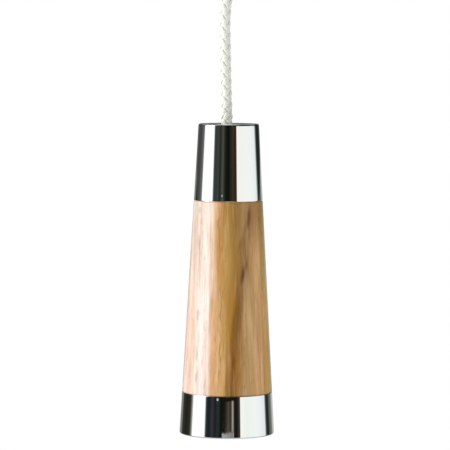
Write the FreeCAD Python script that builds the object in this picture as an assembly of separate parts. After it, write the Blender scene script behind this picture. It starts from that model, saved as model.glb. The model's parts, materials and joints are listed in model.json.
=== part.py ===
"""Pull cord switch: a round ceiling switch worked by a cord that ends in a tapered light pull.

Millimetres, +Z up. The origin is the centre of the ceiling face of the mounting base, so the
whole switch hangs below z = 0. The front is -Y. From the ceiling down it is a mounting base with
a mechanism frame under it, a cover with a nozzle for the cord, a short cord, a two-piece cord
connector, the pull cord, and the pull: a chromed ferrule, an oak body and a chromed foot that
make one straight cone.

A tug moves the slider down against the return spring. Its pawl meets a tooth and turns the
ratchet wheel by one step, and the four-lobed cam on that wheel rocks the contact lever from one
fixed contact to the other.
"""

import FreeCAD
import Part
import math
import os

V = FreeCAD.Vector

# ---------------------------------------------------------------- clearances
RUNNING = 0.05  # radial, a pin in what turns on it
SLIDING = 0.15  # each side of a sliding piece
GLUE = 0.05  # radial, a glued tenon in its socket
SEAT_GAP = 0.05  # between a knot and the rim that it bears on
MESH_GAP = 0.12  # between working faces that push each other
SIDE_GAP = 0.2  # between moving pieces side by side
CLEAR = 0.5  # between pieces that must never touch

# ---------------------------------------------------------------- the pull
PULL_TOP_DIAMETER = 15.5
PULL_TAPER = 3.2  # half angle of the cone, in degrees
FERRULE_HEIGHT = 19.7
FERRULE_WALL = 1.2
FERRULE_TOP = 1.8
FERRULE_EDGE = 0.45
CHROME_RIM = 0.2  # rounding of the chromed pieces where they meet the oak
OAK_HEIGHT = 49.2
OAK_CHAMFER = 0.2
FOOT_HEIGHT = 10.8
FOOT_WALL = 1.5
FOOT_FLOOR = 1.8
FOOT_EDGE = 0.35
TENON_END_GAP = 0.6
INSERT_LENGTH = 7.0
INSERT_WALL = 1.3
STUD_WALL = 1.1
STUD_END_GAP = 1.5
WASHER_THICKNESS = 1.0
KNOT_ROOM = 8.5  # length of the hollow between the washer and the insert

# ---------------------------------------------------------------- the cords
CORD_DIAMETER = 3.0
CORD_CLEARANCE = 0.5  # radial, the cord in a hole
KNOT_DIAMETER = 6.6
KNOT_TAIL = 1.0
KNOT_CLEARANCE = 0.3
SWING = 30.0  # how far the cord swings each way, in degrees
FLARE_MARGIN = 9.0  # a cord mouth opens this many degrees wider than the swing
BALL_GAP = 0.1
FREE_CORD = 35.5  # from the connector down to the pull
CONNECTOR_DROP = 7.5  # from the bush down to the connector

# ---------------------------------------------------------------- the connector
CONNECTOR_WALL = 1.1
CONNECTOR_SPIGOT_WALL = 0.9
CONNECTOR_UPPER = 11.5
CONNECTOR_LOWER = 14.5
CONNECTOR_TOP_WALL = 2.5
CONNECTOR_FLOOR = 5.0
CONNECTOR_SPIGOT = 4.0
CONNECTOR_NOSE = 2.2
CONNECTOR_MOUTH = 2.0  # depth of the flare below the cord's bending point

# ---------------------------------------------------------------- the base
BASE_PLATE = 3.0
FLANGE_HEIGHT = 4.0
SPIGOT_HEIGHT = 9.0
SPIGOT_WALL = 2.0
FLANGE_EDGE = 0.8
FIXING_CENTRES = 50.8
FIXING_SLOT_WIDTH = 4.5
FIXING_SLOT_LENGTH = 8.0
CABLE_ENTRY_DIAMETER = 18.0
POST_DIAMETER = 8.0
POST_JOINT_DROP = 11.5  # from the frame plate down to where the base's posts meet the cover's

# ---------------------------------------------------------------- the cover
COVER_WALL = 2.2
COVER_SHADOW_GAP = 0.3  # between the cover's rim and the flange
COVER_DRAFT = 1.6  # how much smaller the cover's radius is at its face
COVER_CORNER = 9.0
COVER_SCREW_SPACING = 56.0
COVER_SCREW_DIAMETER = 3.5
SCREW_ENGAGEMENT = 9.0
COVER_HEAD_RECESS = 1.9
NOZZLE_WALL = 2.0
NOZZLE_ROOT = 3.5
BUSH_WALL = 2.2
BUSH_LENGTH = 7.0
BUSH_LIP = 1.0
BUSH_LIP_OVERHANG = 1.2
BUSH_EDGE = 0.6
BUSH_MOUTH = 2.6  # depth of the flare below the cord's bending point
FLOOR_GAP = 1.0
WALL_MARGIN = 3.6  # between the mechanism's furthest corner and the cover

# ---------------------------------------------------------------- the frame
FRAME_DROP = 10.0  # from the ceiling to the frame's plate: room for the cables
FRAME_PLATE = 2.5
FRAME_MARGIN = 0.6  # of the plate beyond the common terminal
CHEEK_HALF_GAP = 8.0
CHEEK = 2.0
CHEEK_MARGIN = 4.0
FRAME_SCREW_DIAMETER = 3.0
FRAME_SCREW_REACH = 5.5
PILLAR_DIAMETER = 7.0
GUIDE_PLATE = 2.0
STAKE_DIAMETER = 1.4
STAKE_HEAD = 0.5
RIB = 1.6

# ---------------------------------------------------------------- slider and spring
PULL_TRAVEL = 7.0
FREE_TRAVEL = 1.6  # before the pawl meets the tooth
SLIDER_WALL = 2.2
STEM_WALL = 1.4
POCKET_FLOOR = 0.9
SLIDER_FOOT = 0.9
STEM_SHOW = 0.5
SPRING_LENGTH = 12.5
SPRING_WIRE = 0.7
SPRING_TURNS = 6
SPRING_CLEARANCE = 0.4

# ---------------------------------------------------------------- ratchet and pawl
RATCHET_TEETH = 8
RATCHET_HALF_WIDTH = 1.6
TOOTH_ABOVE = 0.8  # tooth tip beyond the pawl's contact radius
TOOTH_BELOW = 0.8  # tooth root inside the pawl's nearest contact
AXLE_DIAMETER = 2.5
WHEEL_HUB_WALL = 1.4
PAWL_HUB = 1.7
PAWL_BOSS = 1.3
PAWL_PIN_DIAMETER = 1.5
PAWL_HALF_WIDTH = 1.8
PAWL_SPRING_WIDTH = 1.1
PAWL_SPRING_WIRE = 0.3
PAWL_SPRING_TURNS = 2
PAWL_REACH = 4.6
PAWL_DROP = 4.0
PAWL_BEAK = 1.26
SLOT_WALL = 0.7
HUB_GAP = 0.1

# ---------------------------------------------------------------- cam and contact lever
CAM_LOW = 4.3
CAM_LIFT = 2.0
CAM_WIDTH = 4.0
NOSE_RADIUS = 0.5
LEVER_ARM = 9.5
LEVER_HUB = 2.2
LEVER_PIN_DIAMETER = 2.0
LEVER_WIDTH = 3.2
LEVER_THICKNESS = 2.6
LEVER_SET_BACK = 0.8
LEVER_BELOW_NOSE = 3.2
HEEL_REACH = 4.4
HEEL_HALF_HEIGHT = 1.1
HEEL_SPRING_RADIUS = 1.4
HEEL_SPRING_WIRE = 0.4
HEEL_SPRING_TURNS = 6
STRIP = 0.8  # thickness of the brass contact strips
CONTACT_DROP = 6.0  # from the cam's centre down to the contacts
CONTACT_RADIUS = 1.3
CONTACT_HEIGHT = 0.8
STRIP_HALF_HEIGHT = 1.8

# ---------------------------------------------------------------- terminals
TERMINAL_LENGTH = 7.0
TERMINAL_WIDTH = 6.8
TERMINAL_HEIGHT = 8.5
TERMINAL_GAP = 1.6
WIRE_HOLE_DIAMETER = 3.6
WIRE_HOLE_DROP = 3.4  # from the top of the block
CLAMP_SCREW_DIAMETER = 3.0
CLAMP_SCREW_REACH = 3.0
CLAMP_HEAD_DIAMETER = 4.8
CLAMP_HEAD = 1.6
DRIVE_SLOT_WIDTH = 0.8
DRIVE_SLOT_DEPTH = 0.7
DETENT_THICKNESS = 0.3
DETENT_HALF_WIDTH = 1.2
DETENT_LANDING = 2.2
RIVET_DIAMETER = 1.4

TINY = 1e-4
BIG = 200.0

# ================================================================ worked out from the values above
CORD = CORD_DIAMETER / 2
KNOT = KNOT_DIAMETER / 2
CORD_HOLE = CORD + CORD_CLEARANCE
KNOT_POCKET = KNOT + KNOT_CLEARANCE
FLARE_SLOPE = math.tan(math.radians(SWING + FLARE_MARGIN))
KNOT_RISE = math.sqrt(KNOT**2 - CORD_HOLE**2) + SEAT_GAP  # knot's centre from its seat
KNOT_CUT = math.sqrt(KNOT**2 - CORD**2)  # where the cord meets the knot, from its centre
POCKET_DEPTH = KNOT_RISE + KNOT + KNOT_TAIL + CLEAR

# Heights of the mechanism, from the ceiling down.
FRAME_HIGH = -FRAME_DROP
FRAME_LOW = FRAME_HIGH - FRAME_PLATE
POCKET_LOW = FRAME_LOW - POCKET_DEPTH
SLOT_HIGH = POCKET_LOW - POCKET_FLOOR
PAWL_Z = SLOT_HIGH - HUB_GAP - PAWL_HUB
SLIDER_LOW = PAWL_Z - PAWL_HUB - SLIDER_FOOT
GUIDE_HIGH = SLIDER_LOW - SPRING_LENGTH
GUIDE_LOW = GUIDE_HIGH - GUIDE_PLATE
STEM_LOW = GUIDE_LOW - STEM_SHOW

# Slider.
SLIDER_HALF_LENGTH = KNOT_POCKET + SLIDER_WALL
SLIDER_HALF_WIDTH = CHEEK_HALF_GAP - SLIDING
STEM = CORD_HOLE + STEM_WALL
PAWL_X = CORD_HOLE + SLOT_WALL + HUB_GAP + PAWL_HUB

# Ratchet wheel: the pawl's tip meets each tooth half a step above the wheel's centre and leaves
# it half a step below, so the radius there follows from the travel and the number of teeth.
STEP = 2 * math.pi / RATCHET_TEETH
DRIVEN_TRAVEL = PULL_TRAVEL - FREE_TRAVEL
CONTACT_CIRCLE = DRIVEN_TRAVEL / (2 * math.sin(STEP / 2))
NEAREST_CONTACT = CONTACT_CIRCLE * math.cos(STEP / 2)
TOOTH_TIP = CONTACT_CIRCLE + TOOTH_ABOVE
TOOTH_ROOT = NEAREST_CONTACT - TOOTH_BELOW
WHEEL_X = PAWL_X + PAWL_REACH + NEAREST_CONTACT
WHEEL_Z = PAWL_Z - PAWL_DROP - MESH_GAP - FREE_TRAVEL - DRIVEN_TRAVEL / 2
AXLE = AXLE_DIAMETER / 2

# Contact lever: its nose stands under the pivot at half stroke, so the cam's even rise turns it evenly.
CAM_HIGH = CAM_LOW + CAM_LIFT
CAM_SLOPE = math.atan(CAM_LIFT / STEP / CAM_LOW)
NOSE_OUT = CAM_LOW + NOSE_RADIUS / math.cos(CAM_SLOPE) + MESH_GAP
NOSE_STROKE = CAM_HIGH + NOSE_RADIUS + MESH_GAP - NOSE_OUT
LEVER_X = WHEEL_X + NOSE_OUT + NOSE_STROKE / 2
LEVER_Z = WHEEL_Z + LEVER_ARM
LEVER_SWING = 2 * math.atan(NOSE_STROKE / 2 / LEVER_ARM)
LEVER_PIN = LEVER_PIN_DIAMETER / 2
LEVER_Y = (RATCHET_HALF_WIDTH + (CAM_WIDTH - LEVER_WIDTH) / 2 + SIDE_GAP,
           RATCHET_HALF_WIDTH + (CAM_WIDTH + LEVER_WIDTH) / 2 + SIDE_GAP)
LEVER_MID_Y = sum(LEVER_Y) / 2
ARM_X = WHEEL_X + NOSE_OUT + LEVER_SET_BACK  # the arm's face towards the cam
BLADE_X = ARM_X + LEVER_THICKNESS
CONTACT_Z = WHEEL_Z - CONTACT_DROP
HEEL_X = LEVER_X + HEEL_REACH - HEEL_SPRING_RADIUS
STRIP_LOW = CONTACT_Z - STRIP_HALF_HEIGHT

# Fixed contacts. The first is closed at rest. The second meets the lever at the end of its swing.
FIRST_STRIP_X = BLADE_X - 2 * CONTACT_HEIGHT - SEAT_GAP - STRIP
FAR_REACH = BLADE_X + STRIP + CONTACT_HEIGHT - LEVER_X
FAR_FACE_X = (LEVER_X + FAR_REACH * math.cos(LEVER_SWING)
              + (LEVER_Z - CONTACT_Z) * math.sin(LEVER_SWING))
SECOND_STRIP_X = FAR_FACE_X + CONTACT_HEIGHT + CONTACT_RADIUS * math.sin(LEVER_SWING)

# Terminals, each as the low corner of its block.
CHEEK_OUT = CHEEK_HALF_GAP + CHEEK
LUG_OUT = CHEEK_OUT + SIDE_GAP + STRIP
FRAME_HALF_WIDTH = CHEEK_OUT + SIDE_GAP + TERMINAL_WIDTH + FRAME_MARGIN
TERMINAL_LOW = FRAME_LOW - TERMINAL_HEIGHT
POST_X = COVER_SCREW_SPACING / 2 * math.sqrt(0.5)
POST = POST_DIAMETER / 2
FIRST_CORNER = (POST_X - POST - TERMINAL_GAP - TERMINAL_LENGTH, CHEEK_OUT + SIDE_GAP)
SECOND_CORNER = (SECOND_STRIP_X - TERMINAL_LENGTH / 2, LEVER_Y[0] - SIDE_GAP - CLEAR - TERMINAL_WIDTH)
COMMON_CORNER = (LEVER_X - TERMINAL_LENGTH / 2, -CHEEK_OUT - SIDE_GAP - TERMINAL_WIDTH)

# The housing goes round the mechanism's furthest corner and below its lowest point.
REACH = math.hypot(SECOND_CORNER[0] + TERMINAL_LENGTH, SECOND_CORNER[1])
COVER_INSIDE = REACH + WALL_MARGIN
HOUSING = COVER_INSIDE + COVER_WALL  # outer radius of the cover and the flange
SPIGOT = COVER_INSIDE - SLIDING
SPIGOT_LOW = -FLANGE_HEIGHT - SPIGOT_HEIGHT
FLOOR = min(GUIDE_LOW - STAKE_HEAD, STRIP_LOW, WHEEL_Z - TOOTH_TIP) - FLOOR_GAP
FACE = FLOOR - COVER_WALL
RIM = -FLANGE_HEIGHT - COVER_SHADOW_GAP
DRAFT = COVER_DRAFT / (RIM - FACE)
SPIGOT_BORE = SPIGOT - (RIM - SPIGOT_LOW) * DRAFT - SPIGOT_WALL
NOZZLE_BORE = STEM + CLEAR
BUSH_HIGH = STEM_LOW - PULL_TRAVEL - CLEAR
BUSH_LOW = BUSH_HIGH - BUSH_LENGTH
BUSH = CORD_HOLE + BUSH_WALL
NOZZLE = max(NOZZLE_BORE, BUSH) + NOZZLE_WALL
NOZZLE_LOW = BUSH_LOW + BUSH_LIP
POST_JOINT = FRAME_LOW - POST_JOINT_DROP
POST_POINTS = [(POST_X, POST_X), (-POST_X, -POST_X)]
PILLAR_POINTS = [(-SLIDER_HALF_LENGTH - RIB - PILLAR_DIAMETER - CABLE_ENTRY_DIAMETER / 2, 0.0),
                 (LEVER_X + TERMINAL_LENGTH, CHEEK_OUT + CLEAR)]

# Cords, connector and pull, from the bush down.
SWITCH_BEND = BUSH_LOW + BUSH_MOUTH  # where the cord bends as it swings to a side
CONNECTOR_HIGH = BUSH_LOW - CONNECTOR_DROP
CONNECTOR_SPLIT = CONNECTOR_HIGH - CONNECTOR_UPPER
CONNECTOR_LOW = CONNECTOR_SPLIT - CONNECTOR_LOWER
CONNECTOR_BEND = CONNECTOR_LOW + CONNECTOR_MOUTH  # where the cord bends to the front or back
CONNECTOR_SOCKET = KNOT_POCKET + CONNECTOR_SPIGOT_WALL
CONNECTOR = CONNECTOR_SOCKET + CONNECTOR_WALL
PULL_HIGH = CONNECTOR_LOW - FREE_CORD
OAK_HIGH = PULL_HIGH - FERRULE_HEIGHT
OAK_LOW = OAK_HIGH - OAK_HEIGHT
PULL_LOW = OAK_LOW - FOOT_HEIGHT
TAPER = math.tan(math.radians(PULL_TAPER))
TOP_TENON = PULL_TOP_DIAMETER / 2 - FERRULE_WALL
FOOT_INSIDE = PULL_TOP_DIAMETER / 2 + (PULL_HIGH - OAK_LOW) * TAPER - FOOT_WALL
INSERT_BORE = KNOT_POCKET + STUD_WALL
INSERT = INSERT_BORE + INSERT_WALL
TENON_LOW = PULL_LOW + FOOT_FLOOR + TENON_END_GAP
INSERT_HIGH = TENON_LOW + INSERT_LENGTH
WASHER_LOW = INSERT_HIGH + KNOT_ROOM
PULL_KNOT = WASHER_LOW - KNOT_RISE


# ================================================================ shapes
def cylinder(radius, low, high, x=0.0, y=0.0):
    """A cylinder along Z between two heights."""
    return Part.makeCylinder(radius, high - low, V(x, y, low), V(0, 0, 1))


def rod(radius, start, end, x, z):
    """A cylinder along Y, from start to end."""
    return Part.makeCylinder(radius, end - start, V(x, start, z), V(0, 1, 0))


def block(x, y, z):
    """A box between a low and a high value along each axis."""
    return Part.makeBox(x[1] - x[0], y[1] - y[0], z[1] - z[0], V(x[0], y[0], z[0]))


def cone(low_radius, high_radius, low, high):
    """A cone along Z."""
    return Part.makeCone(low_radius, high_radius, high - low, V(0, 0, low), V(0, 0, 1))


def upright(outline, start, end):
    """An outline of (x, z) points, given its thickness along Y from start to end."""
    points = [V(x, start, z) for x, z in outline]
    return Part.Face(Part.makePolygon(points + points[:1])).extrude(V(0, end - start, 0))


def fused(shapes):
    """One solid out of several that touch or overlap."""
    return shapes[0].multiFuse(shapes[1:]).removeSplitter()


def cut(shape, tools):
    """The shape without the tools."""
    return shape.cut(tools[0].multiFuse(tools[1:]) if len(tools) > 1 else tools[0])


def edged(shape, size, radius, height, chamfer=False):
    """The shape with its circular edge of that radius and height rounded, or chamfered."""
    edges = [e for e in shape.Edges if isinstance(e.Curve, Part.Circle)
             and abs(e.Curve.Center.z - height) < TINY and abs(e.Curve.Radius - radius) < TINY]
    return shape.makeChamfer(size, edges) if chamfer else shape.makeFillet(size, edges)


def swung(shape):
    """The shape turned with the contact lever to the end of its swing."""
    turned = shape.copy()
    turned.rotate(V(LEVER_X, 0, LEVER_Z), V(0, -1, 0), math.degrees(LEVER_SWING))
    return turned


def coil_spring(radius, wire, low, high, turns, x=0.0, y=0.0):
    """A round wire spring about a vertical line, out of half rings that tilt to and fro.

    The radius is the coil's mean radius. Both ends are at the +X side.
    """
    rise = (high - low - wire) / (2 * turns)
    tilt = math.atan(rise / (2 * radius))
    halves = []
    for index in range(2 * turns):
        half = Part.makeTorus(radius / math.cos(tilt), wire / 2, V(0, 0, 0), V(0, 0, 1), -180, 180, 180)
        half.rotate(V(0, 0, 0), V(0, 1, 0), math.degrees(tilt))
        half.rotate(V(0, 0, 0), V(0, 0, 1), 180 * (index % 2))
        half.translate(V(x, y, low + wire / 2 + (index + 0.5) * rise))
        halves.append(half)
    return fused(halves)


def pan_screw(x, y, seat, reach, diameter, head_diameter, head):
    """A slotted screw that points up, with its head below the seat."""
    screw = fused([cylinder(diameter / 2, seat, seat + reach, x, y),
                   cylinder(head_diameter / 2, seat - head, seat, x, y)])
    slot = block((x - head_diameter, x + head_diameter),
                 (y - DRIVE_SLOT_WIDTH / 2, y + DRIVE_SLOT_WIDTH / 2),
                 (seat - head - 1, seat - head + DRIVE_SLOT_DEPTH))
    return screw.cut(slot)


# ================================================================ the pull
def pull_radius(height):
    """Radius of the pull's cone at a height."""
    return PULL_TOP_DIAMETER / 2 + (PULL_HIGH - height) * TAPER


def pull_cone(low, high):
    return cone(pull_radius(low), pull_radius(high), low, high)


def ferrule():
    """Chromed cup on the oak's top tenon, with a rounded hole for the cord."""
    body = edged(pull_cone(OAK_HIGH, PULL_HIGH), FERRULE_EDGE, pull_radius(PULL_HIGH), PULL_HIGH)
    body = edged(body, CHROME_RIM, pull_radius(OAK_HIGH), OAK_HIGH)
    body = cut(body, [cylinder(TOP_TENON, OAK_HIGH, PULL_HIGH - FERRULE_TOP),
                      cylinder(CORD_HOLE, OAK_HIGH, PULL_HIGH)])
    return edged(body, FERRULE_EDGE, CORD_HOLE, PULL_HIGH)


def oak_body():
    """Turned oak cone with a tenon at each end and a stepped bore."""
    body = pull_cone(OAK_LOW, OAK_HIGH)
    for height in (OAK_LOW, OAK_HIGH):
        body = edged(body, OAK_CHAMFER, pull_radius(height), height, chamfer=True)
    top = cylinder(TOP_TENON - GLUE, OAK_HIGH, PULL_HIGH - FERRULE_TOP - TENON_END_GAP)
    bottom = cylinder(FOOT_INSIDE - GLUE, TENON_LOW, OAK_LOW)
    hollows = [cylinder(CORD_HOLE + CORD_CLEARANCE, OAK_LOW, PULL_HIGH),
               cylinder(INSERT, TENON_LOW, WASHER_LOW + WASHER_THICKNESS)]
    return cut(fused([body, top, bottom]), hollows)


def foot():
    """Chromed cup under the oak, with a hollow stud that screws into the insert."""
    body = edged(pull_cone(PULL_LOW, OAK_LOW), FOOT_EDGE, pull_radius(PULL_LOW), PULL_LOW)
    body = edged(body, CHROME_RIM, pull_radius(OAK_LOW), OAK_LOW)
    body = body.cut(cylinder(FOOT_INSIDE, PULL_LOW + FOOT_FLOOR, OAK_LOW))
    stud_high = INSERT_HIGH - STUD_END_GAP
    stud = cylinder(INSERT_BORE, PULL_LOW + FOOT_FLOOR, stud_high)
    hollow = cylinder(KNOT_POCKET, PULL_LOW + FOOT_FLOOR, stud_high)
    return fused([body, stud.cut(hollow)])


def foot_insert():
    """Brass ring fixed in the oak's end, threaded for the foot's stud."""
    return cylinder(INSERT, TENON_LOW, INSERT_HIGH).cut(cylinder(INSERT_BORE, TENON_LOW, INSERT_HIGH))


def knot_washer():
    """Steel washer that the whole pull hangs by, on top of the knot."""
    high = WASHER_LOW + WASHER_THICKNESS
    return cylinder(INSERT, WASHER_LOW, high).cut(cylinder(CORD_HOLE, WASHER_LOW, high))


# ================================================================ cords and connector
def knot(seat, side):
    """A knot that bears on the rim of a cord hole. The seat is above it (+1) or below it (-1)."""
    centre = seat - side * KNOT_RISE
    ball = Part.makeSphere(KNOT, V(0, 0, centre))
    tail_end = centre - side * (KNOT + KNOT_TAIL)
    tail = cylinder(CORD, min(centre, tail_end), max(centre, tail_end))
    cord_end = centre + side * KNOT_CUT
    beyond = cylinder(KNOT, min(cord_end, cord_end + side * KNOT), max(cord_end, cord_end + side * KNOT))
    return fused([ball, tail]).cut(beyond)


def knot_end(seat, side):
    """Height where the cord meets that knot."""
    return seat - side * (KNOT_RISE - KNOT_CUT)


def hung_cord(low, bend):
    """A cord from a bending point down, with a round end there that can turn every way."""
    return fused([cylinder(CORD, low, bend), Part.makeSphere(CORD, V(0, 0, bend))])


def held_cord(bend, high):
    """The still cord above a bending point, hollowed to clear the round end."""
    return cylinder(CORD, bend, high).cut(Part.makeSphere(CORD + BALL_GAP, V(0, 0, bend)))


def cord_passage(mouth_low, bend, high):
    """The space of a cord hole that opens below the bending point, so that the cord can swing."""
    wide = CORD_HOLE + (bend - mouth_low) * FLARE_SLOPE
    return fused([cylinder(CORD_HOLE, bend, high), cone(wide, CORD_HOLE, mouth_low, bend)])


def connector_top():
    """Upper half of the connector: a socket that screws over the lower half's spigot."""
    body = edged(cylinder(CONNECTOR, CONNECTOR_SPLIT, CONNECTOR_HIGH), CONNECTOR_NOSE, CONNECTOR,
                 CONNECTOR_HIGH)
    return cut(body, [cylinder(CORD_HOLE, CONNECTOR_SPLIT, CONNECTOR_HIGH),
                      cylinder(KNOT_POCKET, CONNECTOR_SPLIT, CONNECTOR_HIGH - CONNECTOR_TOP_WALL),
                      cylinder(CONNECTOR_SOCKET, CONNECTOR_SPLIT, CONNECTOR_SPLIT + CONNECTOR_SPIGOT)])


def connector_bottom():
    """Lower half of the connector, with the spigot and a flared mouth for the pull cord."""
    body = edged(cylinder(CONNECTOR, CONNECTOR_LOW, CONNECTOR_SPLIT), CONNECTOR_NOSE, CONNECTOR,
                 CONNECTOR_LOW)
    spigot = cylinder(CONNECTOR_SOCKET, CONNECTOR_SPLIT, CONNECTOR_SPLIT + CONNECTOR_SPIGOT)
    spigot_high = CONNECTOR_SPLIT + CONNECTOR_SPIGOT
    return cut(fused([body, spigot]),
               [cylinder(KNOT_POCKET, CONNECTOR_LOW + CONNECTOR_FLOOR, spigot_high),
                cord_passage(CONNECTOR_LOW, CONNECTOR_BEND, spigot_high)])


# ================================================================ base and cover
def fixing_slot(side):
    """One slot for a ceiling screw, longer towards and away from the centre."""
    width = FIXING_SLOT_WIDTH / 2
    y = side * FIXING_CENTRES / 2
    half = FIXING_SLOT_LENGTH / 2 - width
    return fused([cylinder(width, -BASE_PLATE, 0, 0, y - half),
                  cylinder(width, -BASE_PLATE, 0, 0, y + half),
                  block((-width, width), (y - half, y + half), (-BASE_PLATE, 0))])


def mounting_base():
    """Round moulding that is screwed to the ceiling and carries everything else."""
    body = edged(cylinder(HOUSING, -FLANGE_HEIGHT, 0), FLANGE_EDGE, HOUSING, 0)
    spigot = cone(SPIGOT_BORE + SPIGOT_WALL, SPIGOT, SPIGOT_LOW, -FLANGE_HEIGHT)
    body = fused([body, spigot]).cut(cylinder(SPIGOT_BORE, SPIGOT_LOW, -BASE_PLATE))
    posts = [cylinder(POST, POST_JOINT, -BASE_PLATE, x, y) for x, y in POST_POINTS]
    pillars = [cylinder(PILLAR_DIAMETER / 2, FRAME_HIGH, -BASE_PLATE, x, y) for x, y in PILLAR_POINTS]
    holes = [cylinder(COVER_SCREW_DIAMETER / 2, POST_JOINT, POST_JOINT + SCREW_ENGAGEMENT, x, y)
             for x, y in POST_POINTS]
    holes += [cylinder(FRAME_SCREW_DIAMETER / 2, FRAME_HIGH, FRAME_HIGH + FRAME_SCREW_REACH, x, y)
              for x, y in PILLAR_POINTS]
    holes += [cylinder(CABLE_ENTRY_DIAMETER / 2, -BASE_PLATE, 0), fixing_slot(1), fixing_slot(-1)]
    return cut(fused([body] + posts + pillars), holes)


def cover_shell(radius, low, corner):
    """The solid that the cover's outer or inner skin encloses, down to a height."""
    low_radius = radius - (RIM - low) * DRAFT
    return edged(cone(low_radius, radius, low, RIM), corner, low_radius, low)


def cover():
    """Moulded cover with two screw tubes and a nozzle for the cord."""
    outside = cover_shell(HOUSING, FACE, COVER_CORNER)
    nozzle = fused([outside, cylinder(NOZZLE, NOZZLE_LOW, FLOOR)])
    nozzle = edged(nozzle, NOZZLE_ROOT, NOZZLE, FACE)
    inside = cover_shell(COVER_INSIDE, FLOOR, COVER_CORNER - COVER_WALL)
    tubes = [cylinder(POST, FACE, POST_JOINT, x, y) for x, y in POST_POINTS]
    head = COVER_SCREW_DIAMETER
    holes = [cylinder(NOZZLE_BORE, BUSH_HIGH, FLOOR), cylinder(BUSH, NOZZLE_LOW, BUSH_HIGH)]
    for x, y in POST_POINTS:
        holes.append(cylinder(COVER_SCREW_DIAMETER / 2 + SLIDING, FACE, POST_JOINT, x, y))
        holes.append(cylinder(head + SLIDING, FACE, FACE + COVER_HEAD_RECESS, x, y))
    return cut(fused([nozzle.cut(inside)] + tubes), holes)


def cover_screws():
    """Two slotted screws that hold the cover to the base's posts."""
    head = 2 * COVER_SCREW_DIAMETER
    seat = FACE + COVER_HEAD_RECESS
    reach = POST_JOINT + SCREW_ENGAGEMENT - CLEAR - seat
    screws = [pan_screw(x, y, seat, reach, COVER_SCREW_DIAMETER, head, COVER_HEAD_RECESS - SIDE_GAP)
              for x, y in POST_POINTS]
    return Part.makeCompound([edged(s, CLEAR, head / 2, FACE + SIDE_GAP) for s in screws])


def cord_bush():
    """Flared bush in the nozzle that the cord runs over."""
    body = fused([cylinder(BUSH, BUSH_LOW, BUSH_HIGH),
                  cylinder(BUSH + BUSH_LIP_OVERHANG, BUSH_LOW, NOZZLE_LOW)])
    body = edged(body, BUSH_EDGE, BUSH + BUSH_LIP_OVERHANG, BUSH_LOW)
    return body.cut(cord_passage(BUSH_LOW, SWITCH_BEND, BUSH_HIGH))


# ================================================================ the frame
def frame_stakes(radius, low, high):
    """The four pegs that hold the guide plate, two under each cheek."""
    x = SLIDER_HALF_LENGTH + RIB / 2
    y = CHEEK_HALF_GAP + CHEEK / 2
    return [cylinder(radius, low, high, sx * x, sy * y) for sx in (-1, 1) for sy in (-1, 1)]


def cheek(inner, outer):
    """One side wall of the frame, seen from the front, between two distances from the middle."""
    channel = SLIDER_HALF_LENGTH + SLIDING + RIB
    right = LEVER_X + CHEEK_MARGIN
    axle_low = WHEEL_Z - CHEEK_MARGIN
    outline = [(-channel, FRAME_LOW), (right, FRAME_LOW), (right, LEVER_Z - CHEEK_MARGIN),
               (WHEEL_X + CHEEK_MARGIN, axle_low), (channel, axle_low), (channel, GUIDE_HIGH),
               (-channel, GUIDE_HIGH)]
    return upright(outline, min(inner, outer), max(inner, outer))


def slider_ribs():
    """Four ribs that make the cheeks a channel for the slider."""
    start = SLIDER_HALF_LENGTH + SLIDING
    y = (CHEEK_HALF_GAP - RIB, CHEEK_HALF_GAP)
    return [block(sorted((sx * start, sx * (start + RIB))), sorted((sy * y[0], sy * y[1])),
                  (GUIDE_HIGH, FRAME_LOW)) for sx in (-1, 1) for sy in (-1, 1)]


def mechanism_frame():
    """Moulded frame: a plate under the base, and two cheeks that carry the mechanism."""
    left = PILLAR_POINTS[0][0] - PILLAR_DIAMETER / 2 - CLEAR
    plate = cylinder(SPIGOT_BORE - CLEAR, FRAME_LOW, FRAME_HIGH)
    plate = plate.common(block((left, BIG), (-FRAME_HALF_WIDTH, FRAME_HALF_WIDTH), (FRAME_LOW, FRAME_HIGH)))
    cheeks = [cheek(side * CHEEK_HALF_GAP, side * CHEEK_OUT) for side in (-1, 1)]
    stakes = frame_stakes(STAKE_DIAMETER / 2, GUIDE_LOW, GUIDE_HIGH)
    stakes += frame_stakes(STAKE_DIAMETER / 2 + STAKE_HEAD, GUIDE_LOW - STAKE_HEAD, GUIDE_LOW)
    holes = [cylinder(POST + CLEAR, FRAME_LOW, FRAME_HIGH, x, y) for x, y in POST_POINTS]
    holes += [cylinder(FRAME_SCREW_DIAMETER / 2 + SLIDING, FRAME_LOW, FRAME_HIGH, x, y)
              for x, y in PILLAR_POINTS]
    holes += [rod(AXLE, -CHEEK_OUT, CHEEK_OUT, WHEEL_X, WHEEL_Z),
              rod(LEVER_PIN, -CHEEK_OUT, CHEEK_OUT, LEVER_X, LEVER_Z),
              cylinder(RIVET_DIAMETER / 2, FRAME_LOW, FRAME_HIGH, rivet_x(), 0)]
    return cut(fused([plate] + cheeks + slider_ribs() + stakes), holes)


def frame_screws():
    """Two screws that hold the frame to the base's pillars."""
    reach = FRAME_PLATE + FRAME_SCREW_REACH - CLEAR
    return Part.makeCompound([pan_screw(x, y, FRAME_LOW, reach, FRAME_SCREW_DIAMETER,
                                        CLAMP_HEAD_DIAMETER, CLAMP_HEAD) for x, y in PILLAR_POINTS])


def guide_plate():
    """Plate staked under the cheeks: it guides the slider's stem and carries the return spring."""
    half = SLIDER_HALF_LENGTH + SLIDING + RIB
    body = block((-half, half), (-CHEEK_OUT, CHEEK_OUT), (GUIDE_LOW, GUIDE_HIGH))
    holes = frame_stakes(STAKE_DIAMETER / 2, GUIDE_LOW, GUIDE_HIGH)
    return cut(body, [cylinder(STEM + SLIDING, GUIDE_LOW, GUIDE_HIGH)] + holes)


def rivet_x():
    """Where the detent spring is riveted, to the right of the wheel's centre."""
    return WHEEL_X + DETENT_LANDING


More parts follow.
